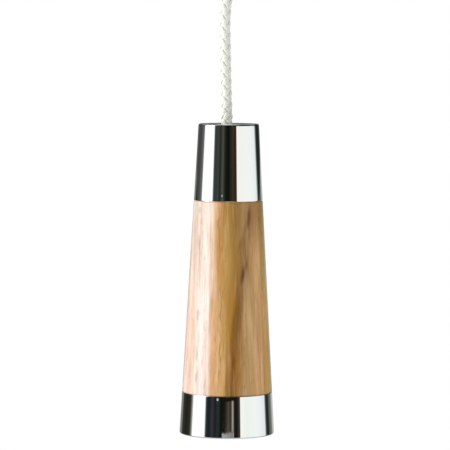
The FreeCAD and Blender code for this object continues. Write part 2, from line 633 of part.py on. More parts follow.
def detent_spring():
    """Leaf spring that stops the wheel turning back, with its tip behind a tooth."""
    tooth = math.pi / 2 + STEP / 2
    reach = TOOTH_TIP - TOOTH_ABOVE / 2
    tip_x = WHEEL_X + reach * math.cos(tooth) + MESH_GAP
    tip_z = WHEEL_Z + reach * math.sin(tooth)
    start, end = rivet_x() + DETENT_LANDING, rivet_x() - DETENT_LANDING
    high = FRAME_LOW
    outline = [(start, high), (end, high), (tip_x, tip_z + DETENT_THICKNESS), (tip_x, tip_z),
               (tip_x + DETENT_THICKNESS, tip_z), (end + DETENT_THICKNESS, high - DETENT_THICKNESS),
               (start, high - DETENT_THICKNESS)]
    leaf = upright(outline, -DETENT_HALF_WIDTH, DETENT_HALF_WIDTH)
    return leaf.cut(cylinder(RIVET_DIAMETER / 2, high - CLEAR, high, rivet_x(), 0))


def detent_rivet():
    """Rivet through the frame's plate and the detent spring."""
    low = FRAME_LOW - DETENT_THICKNESS
    return fused([cylinder(RIVET_DIAMETER / 2, low, FRAME_HIGH, rivet_x(), 0),
                  cylinder(RIVET_DIAMETER, low - CLEAR, low, rivet_x(), 0)])


# ================================================================ slider, pawl and ratchet
def slider():
    """Block with a pocket for the knot and a hollow stem that the cord hangs through."""
    body = fused([block((-SLIDER_HALF_LENGTH, SLIDER_HALF_LENGTH), (-SLIDER_HALF_WIDTH, SLIDER_HALF_WIDTH),
                        (SLIDER_LOW, FRAME_LOW)), cylinder(STEM, STEM_LOW, SLIDER_LOW)])
    half = PAWL_HALF_WIDTH + SIDE_GAP
    slot = block((CORD_HOLE + SLOT_WALL, SLIDER_HALF_LENGTH), (-half, half), (SLIDER_LOW, SLOT_HIGH))
    return cut(body, [cylinder(KNOT_POCKET, POCKET_LOW, FRAME_LOW), cylinder(CORD_HOLE, STEM_LOW, FRAME_LOW),
                      slot, rod(PAWL_PIN_DIAMETER / 2, -SLIDER_HALF_WIDTH, SLIDER_HALF_WIDTH, PAWL_X, PAWL_Z)])


def pawl_pin():
    return rod(PAWL_PIN_DIAMETER / 2, -SLIDER_HALF_WIDTH, SLIDER_HALF_WIDTH, PAWL_X, PAWL_Z)


def pawl_underside():
    """The two ends of the arm's underside: at the beak and under the hub."""
    beak = (PAWL_X + PAWL_REACH - PAWL_BEAK, PAWL_Z - PAWL_DROP + PAWL_BEAK * math.tan(STEP / 2))
    return [beak, (PAWL_X - MESH_GAP / 2, PAWL_Z - PAWL_HUB)]


def pawl():
    """Lever that pushes the teeth down. Its beak's underside lies along the face of the tooth."""
    tip = (PAWL_X + PAWL_REACH, PAWL_Z - PAWL_DROP)
    edge = MESH_GAP / 2
    outline = [(PAWL_X, PAWL_Z + PAWL_HUB), (SLIDER_HALF_LENGTH, PAWL_Z + PAWL_HUB),
               (tip[0] + edge, tip[1] + PAWL_BEAK), (tip[0] + edge, tip[1]), tip, *pawl_underside()]
    side = PAWL_HALF_WIDTH - PAWL_SPRING_WIDTH
    body = fused([rod(PAWL_HUB, -PAWL_HALF_WIDTH, side, PAWL_X, PAWL_Z),
                  rod(PAWL_BOSS, side, PAWL_HALF_WIDTH, PAWL_X, PAWL_Z),
                  upright(outline, -PAWL_HALF_WIDTH, side)])
    return body.cut(rod(PAWL_PIN_DIAMETER / 2 + RUNNING, -PAWL_HALF_WIDTH, PAWL_HALF_WIDTH, PAWL_X, PAWL_Z))


def pawl_spring():
    """Torsion spring round the pawl's boss: one leg against the slot's roof, one hooked under the arm."""
    wire = PAWL_SPRING_WIRE / 2
    start = PAWL_HALF_WIDTH - PAWL_SPRING_WIDTH + SIDE_GAP / 2
    end = PAWL_HALF_WIDTH
    radius = PAWL_BOSS + wire + SIDE_GAP / 2
    coil = coil_spring(radius, PAWL_SPRING_WIRE, start, end, PAWL_SPRING_TURNS)
    coil.rotate(V(0, 0, 0), V(1, 0, 0), -90)
    coil.translate(V(PAWL_X, 0, PAWL_Z))
    x = PAWL_X + radius
    beak, hub = pawl_underside()
    slope = math.atan2(hub[1] - beak[1], beak[0] - hub[0])
    hook_z = hub[1] - (x - hub[0]) * math.tan(slope) - (wire + SEAT_GAP) / math.cos(slope)
    still = cylinder(wire, PAWL_Z, PAWL_Z + PAWL_HUB, x, start + wire)
    leg = cylinder(wire, hook_z, PAWL_Z, x, end - wire)
    elbow = Part.makeSphere(wire, V(x, end - wire, hook_z))
    hook = rod(wire, 0, end - wire, x, hook_z)
    return fused([coil, still, leg, elbow, hook])


def polar(radius, angle):
    return (WHEEL_X + radius * math.cos(angle), WHEEL_Z + radius * math.sin(angle))


def cam():
    """Four lobes that rise and fall evenly with the angle."""
    low = RATCHET_HALF_WIDTH
    edges = []
    for flank in range(RATCHET_TEETH):
        rise = flank % 2 == 0
        points = []
        for k in range(5):
            share = k / 4 if rise else 1 - k / 4
            x, z = polar(CAM_LOW + CAM_LIFT * share, (flank + k / 4) * STEP)
            points.append(V(x, low, z))
        curve = Part.BSplineCurve()
        curve.interpolate(points)
        edges.append(curve.toShape())
    return Part.Face(Part.Wire(edges)).extrude(V(0, CAM_WIDTH, 0))


def ratchet_wheel():
    """Toothed wheel, cam and hubs in one moulding, on the axle between the cheeks."""
    first = math.pi - STEP / 2
    outline = []
    for tooth in range(RATCHET_TEETH):
        angle = first + tooth * STEP
        outline += [polar(TOOTH_ROOT, angle), polar(TOOTH_TIP, angle)]
    teeth = upright(outline, -RATCHET_HALF_WIDTH, RATCHET_HALF_WIDTH)
    end = CHEEK_HALF_GAP - SIDE_GAP
    hub = rod(AXLE + WHEEL_HUB_WALL, -end, end, WHEEL_X, WHEEL_Z)
    return fused([teeth, cam(), hub]).cut(rod(AXLE + RUNNING, -end, end, WHEEL_X, WHEEL_Z))


def wheel_axle():
    return rod(AXLE, -CHEEK_OUT, CHEEK_OUT, WHEEL_X, WHEEL_Z)


# ================================================================ contact lever
def contact_lever():
    """Moulded lever: a nose that follows the cam, and a heel for its spring."""
    nose = (WHEEL_X + NOSE_OUT, WHEEL_Z)
    low = WHEEL_Z - LEVER_BELOW_NOSE
    wide = LEVER_THICKNESS / 2
    heel_end = LEVER_X + HEEL_REACH
    arm = [(LEVER_X - wide, LEVER_Z), (LEVER_X + wide, LEVER_Z), (BLADE_X, WHEEL_Z + wide), (BLADE_X, low),
           (ARM_X, low), (ARM_X, WHEEL_Z - NOSE_RADIUS), (nose[0], WHEEL_Z - NOSE_RADIUS),
           (nose[0], WHEEL_Z + NOSE_RADIUS), (ARM_X, WHEEL_Z + NOSE_RADIUS)]
    pieces = [upright(arm, *LEVER_Y), rod(NOSE_RADIUS, *LEVER_Y, *nose),
              rod(LEVER_HUB, LEVER_Y[0], CHEEK_HALF_GAP - SIDE_GAP, LEVER_X, LEVER_Z),
              block((LEVER_X, heel_end), LEVER_Y, (LEVER_Z - HEEL_HALF_HEIGHT, LEVER_Z + HEEL_HALF_HEIGHT))]
    return fused(pieces).cut(rod(LEVER_PIN + RUNNING, LEVER_Y[0], CHEEK_HALF_GAP, LEVER_X, LEVER_Z))


def contact_blade():
    """Brass strip on the lever's back that carries both moving contacts."""
    return block((BLADE_X, BLADE_X + STRIP), LEVER_Y, (STRIP_LOW, WHEEL_Z))


def contact_button(face, side):
    """A round contact on one face of a strip, pointing right (+1) or left (-1)."""
    return Part.makeCylinder(CONTACT_RADIUS, CONTACT_HEIGHT, V(face, LEVER_MID_Y, CONTACT_Z), V(side, 0, 0))


def moving_contacts():
    return Part.makeCompound([contact_button(BLADE_X, -1), contact_button(BLADE_X + STRIP, 1)])


def fixed_contacts():
    """The two still contacts. The second is turned to lie flat on the lever's at full swing."""
    first = contact_button(FIRST_STRIP_X + STRIP, 1)
    start = BLADE_X + STRIP + CONTACT_HEIGHT + SEAT_GAP
    second = swung(Part.makeCylinder(CONTACT_RADIUS, 3 * CONTACT_HEIGHT, V(start, LEVER_MID_Y, CONTACT_Z),
                                     V(1, 0, 0)))
    beyond = block((SECOND_STRIP_X, BIG), (-BIG, BIG), (-BIG, 0))
    return Part.makeCompound([first, second.cut(beyond)])


def lever_pin():
    """Brass pin that the lever rocks on. It runs into the common terminal and feeds the lever."""
    return rod(LEVER_PIN, -LUG_OUT, CHEEK_OUT, LEVER_X, LEVER_Z)


# ================================================================ terminals
def terminal(corner, high, wire_along_x):
    """A brass block with a wire hole across it and a clamp screw's hole from below."""
    x, y = corner
    low = high - TERMINAL_HEIGHT
    mid_x, mid_y, mid_z = x + TERMINAL_LENGTH / 2, y + TERMINAL_WIDTH / 2, high - WIRE_HOLE_DROP
    body = block((x, x + TERMINAL_LENGTH), (y, y + TERMINAL_WIDTH), (low, high))
    radius = WIRE_HOLE_DIAMETER / 2
    if wire_along_x:
        wire = Part.makeCylinder(radius, TERMINAL_LENGTH, V(x, mid_y, mid_z), V(1, 0, 0))
    else:
        wire = rod(radius, y, y + TERMINAL_WIDTH, mid_x, mid_z)
    return cut(body, [wire, cylinder(CLAMP_SCREW_DIAMETER / 2, low, mid_z, mid_x, mid_y)])


def terminal_first():
    """Terminal of the contact that is closed at rest, with its strip round the cheek."""
    x, y = FIRST_CORNER
    high = CONTACT_Z + STRIP_HALF_HEIGHT
    leg = block((x, x + STRIP_HALF_HEIGHT), (y, y + STRIP), (STRIP_LOW, TERMINAL_LOW + STRIP))
    arm = block((x, FIRST_STRIP_X + STRIP), (y, y + STRIP), (STRIP_LOW, high))
    tab = block((FIRST_STRIP_X, FIRST_STRIP_X + STRIP), (LEVER_Y[0], y + STRIP), (STRIP_LOW, high))
    return fused([terminal(FIRST_CORNER, FRAME_LOW, True), leg, arm, tab])


def terminal_second():
    """Terminal of the contact that a tug closes, with its strip straight down."""
    y = (SECOND_CORNER[1] + TERMINAL_WIDTH - CLEAR, LEVER_Y[1])
    strip = block((SECOND_STRIP_X, SECOND_STRIP_X + STRIP), y, (STRIP_LOW, TERMINAL_LOW))
    bridge = block((SECOND_STRIP_X, SECOND_STRIP_X + STRIP), (y[0], y[0] + CLEAR),
                   (TERMINAL_LOW - STRIP, TERMINAL_LOW + STRIP))
    return fused([terminal(SECOND_CORNER, FRAME_LOW, False), bridge, strip])


def terminal_common():
    """Terminal outside the front cheek, with a lug that holds the lever's pin."""
    half = LEVER_PIN + STRIP
    lug = block((LEVER_X - half, LEVER_X + half), (-LUG_OUT, STRIP - LUG_OUT),
                (LEVER_Z - half, TERMINAL_LOW + STRIP))
    body = fused([terminal(COMMON_CORNER, FRAME_LOW, True), lug])
    return body.cut(rod(LEVER_PIN, -LUG_OUT, STRIP - LUG_OUT, LEVER_X, LEVER_Z))


def earth_corner():
    """The earth terminal stands on the base beside the back fixing slot."""
    return (-FIXING_SLOT_WIDTH - TERMINAL_GAP - TERMINAL_LENGTH, FRAME_HALF_WIDTH + TERMINAL_GAP)


def earth_terminal():
    return terminal(earth_corner(), -BASE_PLATE, True)


def terminal_screws():
    """The four clamp screws, run in part of the way."""
    screws = []
    for (x, y), high in ((FIRST_CORNER, FRAME_LOW), (SECOND_CORNER, FRAME_LOW), (COMMON_CORNER, FRAME_LOW),
                         (earth_corner(), -BASE_PLATE)):
        low = high - TERMINAL_HEIGHT
        screws.append(pan_screw(x + TERMINAL_LENGTH / 2, y + TERMINAL_WIDTH / 2, low, CLAMP_SCREW_REACH,
                                CLAMP_SCREW_DIAMETER, CLAMP_HEAD_DIAMETER, CLAMP_HEAD))
    return Part.makeCompound(screws)


# ================================================================ the list of pieces
def pieces():
    """Every piece by its node's name."""
    spring_radius = STEM + SPRING_CLEARANCE + SPRING_WIRE / 2
    return {
        "mounting_base": mounting_base(),
        "cover": cover(),
        "cover_screws": cover_screws(),
        "cord_bush": cord_bush(),
        "mechanism_frame": mechanism_frame(),
        "frame_screws": frame_screws(),
        "guide_plate": guide_plate(),
        "wheel_axle": wheel_axle(),
        "lever_pin": lever_pin(),
        "terminal_first": terminal_first(),
        "terminal_second": terminal_second(),
        "terminal_common": terminal_common(),
        "earth_terminal": earth_terminal(),
        "terminal_screws": terminal_screws(),
        "fixed_contacts": fixed_contacts(),
        "detent_spring": detent_spring(),
        "detent_rivet": detent_rivet(),
        "return_spring": coil_spring(spring_radius, SPRING_WIRE, GUIDE_HIGH, SLIDER_LOW, SPRING_TURNS),
        "lever_spring": coil_spring(HEEL_SPRING_RADIUS, HEEL_SPRING_WIRE, LEVER_Z + HEEL_HALF_HEIGHT,
                                    FRAME_LOW, HEEL_SPRING_TURNS, HEEL_X, LEVER_MID_Y),
        "slider": slider(),
        "pawl_pin": pawl_pin(),
        "pawl_spring": pawl_spring(),
        "switch_cord_knot": knot(POCKET_LOW, -1),
        "switch_cord": held_cord(SWITCH_BEND, knot_end(POCKET_LOW, -1)),
        "pawl": pawl(),
        "ratchet_wheel": ratchet_wheel(),
        "contact_lever": contact_lever(),
        "contact_blade": contact_blade(),
        "moving_contacts": moving_contacts(),
        "hanging_cord": hung_cord(knot_end(CONNECTOR_HIGH - CONNECTOR_TOP_WALL, 1), SWITCH_BEND),
        "hanging_cord_knot": knot(CONNECTOR_HIGH - CONNECTOR_TOP_WALL, 1),
        "connector_top": connector_top(),
        "connector_bottom": connector_bottom(),
        "pull_cord_top_knot": knot(CONNECTOR_LOW + CONNECTOR_FLOOR, -1),
        "pull_cord_top": held_cord(CONNECTOR_BEND, knot_end(CONNECTOR_LOW + CONNECTOR_FLOOR, -1)),
        "pull_cord": hung_cord(knot_end(WASHER_LOW, 1), CONNECTOR_BEND),
        "pull_cord_knot": knot(WASHER_LOW, 1),
        "knot_washer": knot_washer(),
        "ferrule": ferrule(),
        "oak_body": oak_body(),
        "foot_insert": foot_insert(),
        "foot": foot(),
    }


def main():
    os.makedirs("parts", exist_ok=True)
    for name, shape in pieces().items():
        shape.exportStep(os.path.join("parts", name + ".step"))


if __name__ == "__main__":
    main()
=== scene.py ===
"""Looks of the pull cord switch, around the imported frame. Metres, +Z up, the front is -Y."""

import json
import math

import bpy
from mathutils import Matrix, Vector


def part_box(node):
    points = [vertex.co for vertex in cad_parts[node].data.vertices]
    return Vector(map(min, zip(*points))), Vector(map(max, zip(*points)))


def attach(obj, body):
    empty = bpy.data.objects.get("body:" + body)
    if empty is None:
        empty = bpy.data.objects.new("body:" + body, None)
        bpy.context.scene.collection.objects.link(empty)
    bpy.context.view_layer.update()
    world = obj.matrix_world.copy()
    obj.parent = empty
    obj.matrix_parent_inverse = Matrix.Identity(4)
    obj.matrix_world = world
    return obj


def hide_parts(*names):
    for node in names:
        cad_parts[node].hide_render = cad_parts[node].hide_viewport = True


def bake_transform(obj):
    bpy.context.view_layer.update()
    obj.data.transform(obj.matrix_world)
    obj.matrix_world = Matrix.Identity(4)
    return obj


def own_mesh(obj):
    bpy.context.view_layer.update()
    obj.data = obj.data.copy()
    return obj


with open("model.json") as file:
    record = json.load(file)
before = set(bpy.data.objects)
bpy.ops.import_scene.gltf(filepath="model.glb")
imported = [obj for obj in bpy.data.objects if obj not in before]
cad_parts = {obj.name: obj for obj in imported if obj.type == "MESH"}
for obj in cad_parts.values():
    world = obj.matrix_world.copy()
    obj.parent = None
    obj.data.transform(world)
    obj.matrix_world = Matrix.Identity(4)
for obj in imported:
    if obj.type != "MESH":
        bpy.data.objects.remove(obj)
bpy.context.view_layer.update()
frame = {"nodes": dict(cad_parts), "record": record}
nodes = frame["nodes"]
PULL_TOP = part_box("ferrule")[1][2]
OAK_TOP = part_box("ferrule")[0][2]
OAK_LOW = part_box("foot")[1][2]
PULL_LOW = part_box("foot")[0][2]
MM = 0.001
TURN = 2 * math.pi

# ---------------------------------------------------------------- the camera
LENS, SENSOR = 224.8, 36  # mm
CAMERA_PLACE = (-1.09 * MM, -0.72, PULL_TOP + 21 * MM)
CAMERA_DOWN, CAMERA_TILT = 3.738, -0.36  # degrees

camera = bpy.data.objects.new("camera", bpy.data.cameras.new("camera"))
bpy.context.collection.objects.link(camera)
camera.data.lens, camera.data.sensor_width = LENS, SENSOR
camera.location = CAMERA_PLACE
camera.rotation_euler = (math.radians(90 - CAMERA_DOWN), math.radians(CAMERA_TILT), 0)
bpy.context.scene.camera = camera
bpy.context.scene.view_settings.view_transform = "Standard"

# ---------------------------------------------------------------- the cords' shapes
# The routes run down the middle, as in the source. The pull cord leans a little to one side
# where it comes out of the connector, as a cord does that was wound up before.
SHORT_ROUTE = [(0, 0, z * MM) for z in (-20.2, -27, -34, -41, -48, -54, -60, -64.5)]
LONG_ROUTE = [(x * MM, 0, z * MM) for x, z in (
    (0, -83.5), (0, -87.5), (-0.7, -91.5), (-1.25, -96.5), (-1.05, -105), (-0.82, -114),
    (-0.45, -123), (-0.42, -140), (-0.2, -158), (0, -174), (0, -185.3))]
ROUTE_ORDER, ROUTE_RESOLUTION = 3, 32
STEP = 0.24 * MM  # between two rings of a tube
CORE_RADIUS = 0.8 * MM
CORE_SIDES = 16
STRANDS = 4  # each way
STRAND_SIDES = 12
STRAND_HALF_WIDTH = 0.74 * MM
STRAND_HALF_THICKNESS = 0.28 * MM
LAY = 11.84 * MM  # one turn of a strand
BRAID_RADIUS = 1.0 * MM
BRAID_LIFT = 0.24 * MM  # how far a strand rises and sinks where it crosses another


def mesh_object(name, verts, faces, material, uvs=(), uv_name="along"):
    """A mesh in the scene. uvs has one pair for each corner of each face."""
    mesh = bpy.data.meshes.new(name)
    mesh.from_pydata(verts, [], faces)
    if uvs:
        for loop, uv in zip(mesh.uv_layers.new(name=uv_name).data, uvs):
            loop.uv = uv
    mesh.materials.append(material)
    made = bpy.data.objects.new(name, mesh)
    bpy.context.collection.objects.link(made)
    return made


def spline_line(name, route):
    """Points along the smooth NURBS curve of a route."""
    curve = bpy.data.curves.new(name, "CURVE")
    curve.dimensions, curve.resolution_u = "3D", ROUTE_RESOLUTION
    spline = curve.splines.new("NURBS")
    spline.points.add(len(route) - 1)
    for point, place in zip(spline.points, route):
        point.co = (*place, 1)
    spline.order_u, spline.use_endpoint_u = ROUTE_ORDER, True
    mesh = bpy.data.meshes.new_from_object(bpy.data.objects.new(name, curve))
    return [v.co.copy() for v in mesh.vertices]


def evenly(line, step):
    """The line's points again, an even step apart, and the line's length."""
    lengths = [0.0]
    for a, b in zip(line, line[1:]):
        lengths.append(lengths[-1] + (b - a).length)
    count = max(2, round(lengths[-1] / step))
    points, i = [], 0
    for k in range(count + 1):
        at = lengths[-1] * k / count
        while i < len(line) - 2 and lengths[i + 1] < at:
            i += 1
        share = (at - lengths[i]) / max(lengths[i + 1] - lengths[i], 1e-12)
        points.append(line[i].lerp(line[i + 1], min(max(share, 0), 1)))
    return points, lengths[-1]


def ahead_at(points, i):
    """Which way a line of points runs at one of them."""
    return (points[min(i + 1, len(points) - 1)] - points[max(i - 1, 0)]).normalized()


def tube(points, outward, half_width, half_thickness, sides, verts, faces, uvs):
    """Adds a closed tube of oval section along the points. outward is the section's short way."""
    first = len(verts)
    runs = [0.0]
    for a, b in zip(points, points[1:]):
        runs.append(runs[-1] + (b - a).length)
    for i, centre in enumerate(points):
        ahead = ahead_at(points, i)
        up = (outward[i] - ahead * outward[i].dot(ahead)).normalized()
        side = ahead.cross(up)
        for k in range(sides):
            angle = TURN * k / sides
            verts.append(centre + side * (half_width * math.cos(angle))
                         + up * (half_thickness * math.sin(angle)))
    runs = [run / MM for run in runs]
    for i in range(len(points) - 1):
        a, b = first + i * sides, first + (i + 1) * sides
        for k in range(sides):
            n = (k + 1) % sides
            faces.append((a + k, a + n, b + n, b + k))
            u, w = k / sides, (k + 1) / sides
            uvs += [(u, runs[i]), (w, runs[i]), (w, runs[i + 1]), (u, runs[i + 1])]
    last = first + (len(points) - 1) * sides
    faces.append(tuple(first + k for k in reversed(range(sides))))
    faces.append(tuple(last + k for k in range(sides)))
    uvs += [(0.5, 0)] * sides + [(0.5, runs[-1])] * sides


def braided_cord(name, route, material):
    """A round braid of strands both ways over a soft core, with its path and its length."""
    path, length = evenly(spline_line(name + "_route", route), STEP)
    verts, faces, uvs = [], [], []
    across = Vector((1, 0, 0))
    fronts = []
    for i in range(len(path)):
        ahead = ahead_at(path, i)
        across = (across - ahead * across.dot(ahead)).normalized()
        fronts.append((across.copy(), ahead.cross(across)))
    tube(path, [front[0] for front in fronts], CORE_RADIUS, CORE_RADIUS, CORE_SIDES, verts, faces, uvs)
    for way in (1, -1):
        for strand in range(STRANDS):
            centres, outward = [], []
            for i, point in enumerate(path):
                run = length * i / (len(path) - 1)
                angle = way * TURN * run / LAY + TURN * strand / STRANDS
                radius = BRAID_RADIUS + way * BRAID_LIFT * math.cos(TURN * STRANDS * run / LAY)
                out = fronts[i][0] * math.cos(angle) + fronts[i][1] * math.sin(angle)
                centres.append(point + out * radius)
                outward.append(out)
            tube(centres, outward, STRAND_HALF_WIDTH, STRAND_HALF_THICKNESS, STRAND_SIDES,
                 verts, faces, uvs)
    made = mesh_object(name, verts, faces, material, uvs, "strand")
    for polygon in made.data.polygons:
        polygon.use_smooth = len(polygon.vertices) == 4
    return made, path, length


# ---------------------------------------------------------------- node graphs
MIX_FACTOR, MIX_A, MIX_B, MIX_RESULT = 0, 6, 7, 2  # the Mix node's sockets for colours


def rgba(colour):
    """Four numbers from a colour or from a grey."""
    return (*colour, 1) if isinstance(colour, tuple) else (colour, colour, colour, 1)


class Graph:
    """A node tree to add to. Its functions give the new node's output."""

    def __init__(self, tree):
        self.tree = tree

    def put(self, kind, values=(), out=0, **settings):
        """Adds a node. values are its inputs, by index or name. With out=None it gives the node."""
        made = self.tree.nodes.new("ShaderNode" + kind)
        for name, value in settings.items():
            setattr(made, name, value)
        for socket, value in dict(values).items():
            if isinstance(value, bpy.types.NodeSocket):
                self.tree.links.new(value, made.inputs[socket])
            else:
                made.inputs[socket].default_value = value
        return made if out is None else made.outputs[out]

    def math(self, operation, *values):
        return self.put("Math", enumerate(values), operation=operation)

    def range(self, value, low, high, start=0.0, end=1.0):
        """low to high, as the value goes from start to end."""
        return self.put("MapRange", {"Value": value, "From Min": start, "From Max": end,
                                     "To Min": low, "To Max": high})

    def window(self, value, low, high, soft):
        """1 between low and high, and 0 outside, over a soft edge."""
        rise, fall = (
            self.put("MapRange", {"Value": value, "From Min": edge - soft, "From Max": edge + soft,
                                  "To Min": before, "To Max": 1.0 - before},
                     interpolation_type="SMOOTHSTEP")
            for edge, before in ((low, 0.0), (high, 1.0)))
        return self.math("MULTIPLY", rise, fall)

    def axes(self, vector):
        return self.put("SeparateXYZ", {0: vector}, out=None).outputs

    def scaled(self, vector, scale):
        return self.put("Mapping", {"Vector": vector, "Scale": scale})

    def place(self):
        """Where a point is, in millimetres."""
        return self.scaled(self.put("TexCoord", out="Object"), (1000, 1000, 1000))

    def noise(self, vector, waves, detail=2.0, roughness=0.5):
        """Noise with so many waves a millimetre each way."""
        return self.put("TexNoise", {"Vector": self.scaled(vector, waves), "Scale": 1.0,
                                     "Detail": detail, "Roughness": roughness})

    def ramp(self, factor, stops):
        """A colour or grey along the factor. stops are (place, colour or grey), in order."""
        made = self.put("ValToRGB", {0: factor}, out=None)
        elements = made.color_ramp.elements
        while len(elements) < len(stops):
            elements.new(0.5)
        for element, (at, colour) in zip(elements, stops):
            element.position, element.color = at, rgba(colour)
        return made.outputs[0]

    def mix(self, factor, a, b):
        """From colour a at 0 to colour b at 1."""
        a, b = (rgba(colour) if isinstance(colour, tuple) else colour for colour in (a, b))
        return self.put("Mix", {MIX_FACTOR: factor, MIX_A: a, MIX_B: b}, out=MIX_RESULT,
                        data_type="RGBA")


class Surface(Graph):
    """A material's node graph. Values that don't vary stay on the shader's own sockets."""

    def __init__(self, name, colour, roughness, metallic=0.0, **sockets):
        self.material = bpy.data.materials.new(name)
        self.material.use_nodes = True
        super().__init__(self.material.node_tree)
        self.shader = self.tree.nodes["Principled BSDF"]
        self.shader.inputs["Base Color"].default_value = rgba(colour)
        self.shader.inputs["Roughness"].default_value = roughness
        self.shader.inputs["Metallic"].default_value = metallic
        for socket, value in sockets.items():
            self.shader.inputs[socket.replace("_", " ")].default_value = value

    def set(self, socket, value):
        self.tree.links.new(value, self.shader.inputs[socket])
        return self

    def bump(self, height, depth_mm, strength=1.0):
        return self.set("Normal", self.put("Bump", {"Height": height, "Distance": depth_mm * MM,
                                                    "Strength": strength}))


# ---------------------------------------------------------------- materials
def braid_material():
    """Off-white polyester yarn: filaments along each strand, with a little soil in patches."""
    s = Surface("braided_cord", (0.82, 0.825, 0.755), 0.82, Sheen_Weight=0.25, Sheen_Roughness=0.5)
    twist = s.put("Mapping", {"Vector": s.put("UVMap", uv_map="strand"), "Rotation": (0, 0, 0.05),
                              "Scale": (34, 1.2, 1)})
    threads = s.put("TexNoise", {"Vector": twist, "Scale": 1.0, "Detail": 3.0, "Roughness": 0.55})
    soil = s.noise(s.place(), (0.35, 0.35, 0.12), 3)
    clean = s.mix(s.range(soil, 0.0, 1.0, 0.35, 0.7), (0.83, 0.835, 0.765), (0.76, 0.77, 0.685))
    s.set("Base Color", s.mix(s.range(threads, 0.0, 0.5, 0.35, 0.62), clean, (0.64, 0.65, 0.58)))
    return s.bump(threads, 0.05, 0.7).material


def knot_material():
    """The same cord pulled into a knot: the braid's crossing pattern over the whole ball, with painted
    shade in the gaps between the crossings.
    """
    s = Surface("knotted_cord", (0.80, 0.80, 0.73), 0.85, Sheen_Weight=0.25, Sheen_Roughness=0.5)
    place = s.place()
    cells = s.put("TexVoronoi", {"Vector": place, "Scale": 0.9, "Randomness": 0.35})
    threads = s.noise(place, (5, 5, 2.2), 3)
    # the gaps between the crossings are darker: painted shade
    gaps = s.range(cells, 0.0, 1.0, 0.1, 0.75)
    s.set("Base Color", s.mix(gaps, (0.85, 0.85, 0.79), (0.55, 0.55, 0.47)))
    height = s.math("MULTIPLY_ADD", threads, 0.25, s.math("MULTIPLY", cells, -1.0))
    return s.bump(height, 0.35).material


def chrome_material():
    """Mirror chrome with the faintest polishing haze."""
    s = Surface("mirror_chrome", (0.86, 0.87, 0.885), 0.03, metallic=1.0)
    haze = s.noise(s.place(), (0.16, 0.16, 0.05), 4, 0.6)
    s.set("Roughness", s.range(haze, 0.012, 0.03, 0.35, 0.7))
    tint = s.mix(s.range(haze, 0.0, 1.0, 0.3, 0.7), (0.87, 0.88, 0.895), (0.85, 0.86, 0.872))
    return s.set("Base Color", tint).material


def moulded(name, colour, roughness, speck, grain=0.02, **sockets):
    """Moulded plastic: slight shade changes, a fine spark-eroded skin and a few specks."""
    s = Surface(name, colour, roughness, **sockets)
    place = s.place()
    flow = s.noise(place, (0.05, 0.05, 0.05), 4, 0.6)
    skin = s.noise(place, (3.2, 3.2, 3.2))
    dots = s.noise(place, (1.7, 1.7, 1.7), 1)
    shade, dark = (tuple(c * share for c in colour) for share in (0.93, 0.6))
    tone = s.mix(s.range(flow, 0.0, 1.0, 0.35, 0.7), colour, shade)
    s.set("Base Color", s.mix(s.range(dots, 0.0, speck, 0.66, 0.74), tone, dark))
    s.set("Roughness", s.range(flow, roughness - 0.04, roughness + 0.06, 0.3, 0.7))
    return s.bump(skin, grain, 0.4).material


def metal(name, colour, tarnish, roughness, amount=0.6):
    """Bare or plated metal: fine working marks and a patchy film."""
    s = Surface(name, colour, roughness, metallic=1.0)
    place = s.place()
    film = s.noise(place, (0.22, 0.22, 0.22), 5, 0.6)
    marks = s.noise(place, (3.6, 3.6, 3.6), 3, 0.6)
    s.set("Base Color", s.mix(s.range(film, 0.0, amount, 0.35, 0.7), colour, tarnish))
    s.set("Roughness", s.range(film, roughness - 0.05, roughness + 0.12, 0.35, 0.7))
    return s.bump(marks, 0.012, 0.5).material


# The oak's tones from the pale left edge to the right, as (place across the layers, colour). They are
# partly the wood's own bands and partly painted light and shade as the lamps fall on the front; the
# pale tones at the left are a painted highlight, the soft box's gloss painted into the wood.
OAK_UPPER = (  # near the ferrule
    (0.26, (0.71, 0.63, 0.58)), (0.28, (0.78, 0.68, 0.62)), (0.32, (0.70, 0.59, 0.50)),
    (0.345, (0.67, 0.48, 0.42)), (0.37, (0.78, 0.65, 0.57)), (0.395, (0.81, 0.59, 0.45)),
    (0.42, (0.74, 0.47, 0.27)), (0.45, (0.43, 0.21, 0.045)), (0.50, (0.42, 0.22, 0.04)),
    (0.56, (0.31, 0.16, 0.03)), (0.59, (0.34, 0.19, 0.04)), (0.62, (0.50, 0.29, 0.10)),
    (0.65, (0.36, 0.19, 0.04)), (0.71, (0.41, 0.18, 0.06)), (0.745, (0.37, 0.16, 0.035)),
    (0.78, (0.34, 0.20, 0.035)), (0.83, (0.52, 0.42, 0.16)), (0.88, (0.64, 0.55, 0.29)))
OAK_MIDDLE = (  # a third of the way down
    (0.235, (0.75, 0.64, 0.58)), (0.25, (0.70, 0.56, 0.49)), (0.30, (0.72, 0.58, 0.52)),
    (0.355, (0.80, 0.65, 0.58)), (0.385, (0.77, 0.54, 0.38)), (0.41, (0.58, 0.28, 0.10)),
    (0.44, (0.43, 0.21, 0.04)), (0.47, (0.57, 0.33, 0.08)), (0.50, (0.50, 0.29, 0.07)),
    (0.56, (0.35, 0.18, 0.025)), (0.595, (0.42, 0.20, 0.03)), (0.625, (0.34, 0.14, 0.02)),
    (0.66, (0.35, 0.16, 0.035)), (0.69, (0.49, 0.27, 0.09)), (0.73, (0.65, 0.37, 0.14)),
    (0.765, (0.68, 0.40, 0.145)), (0.80, (0.55, 0.36, 0.115)), (0.86, (0.53, 0.40, 0.145)),
    (0.89, (0.60, 0.46, 0.21)))
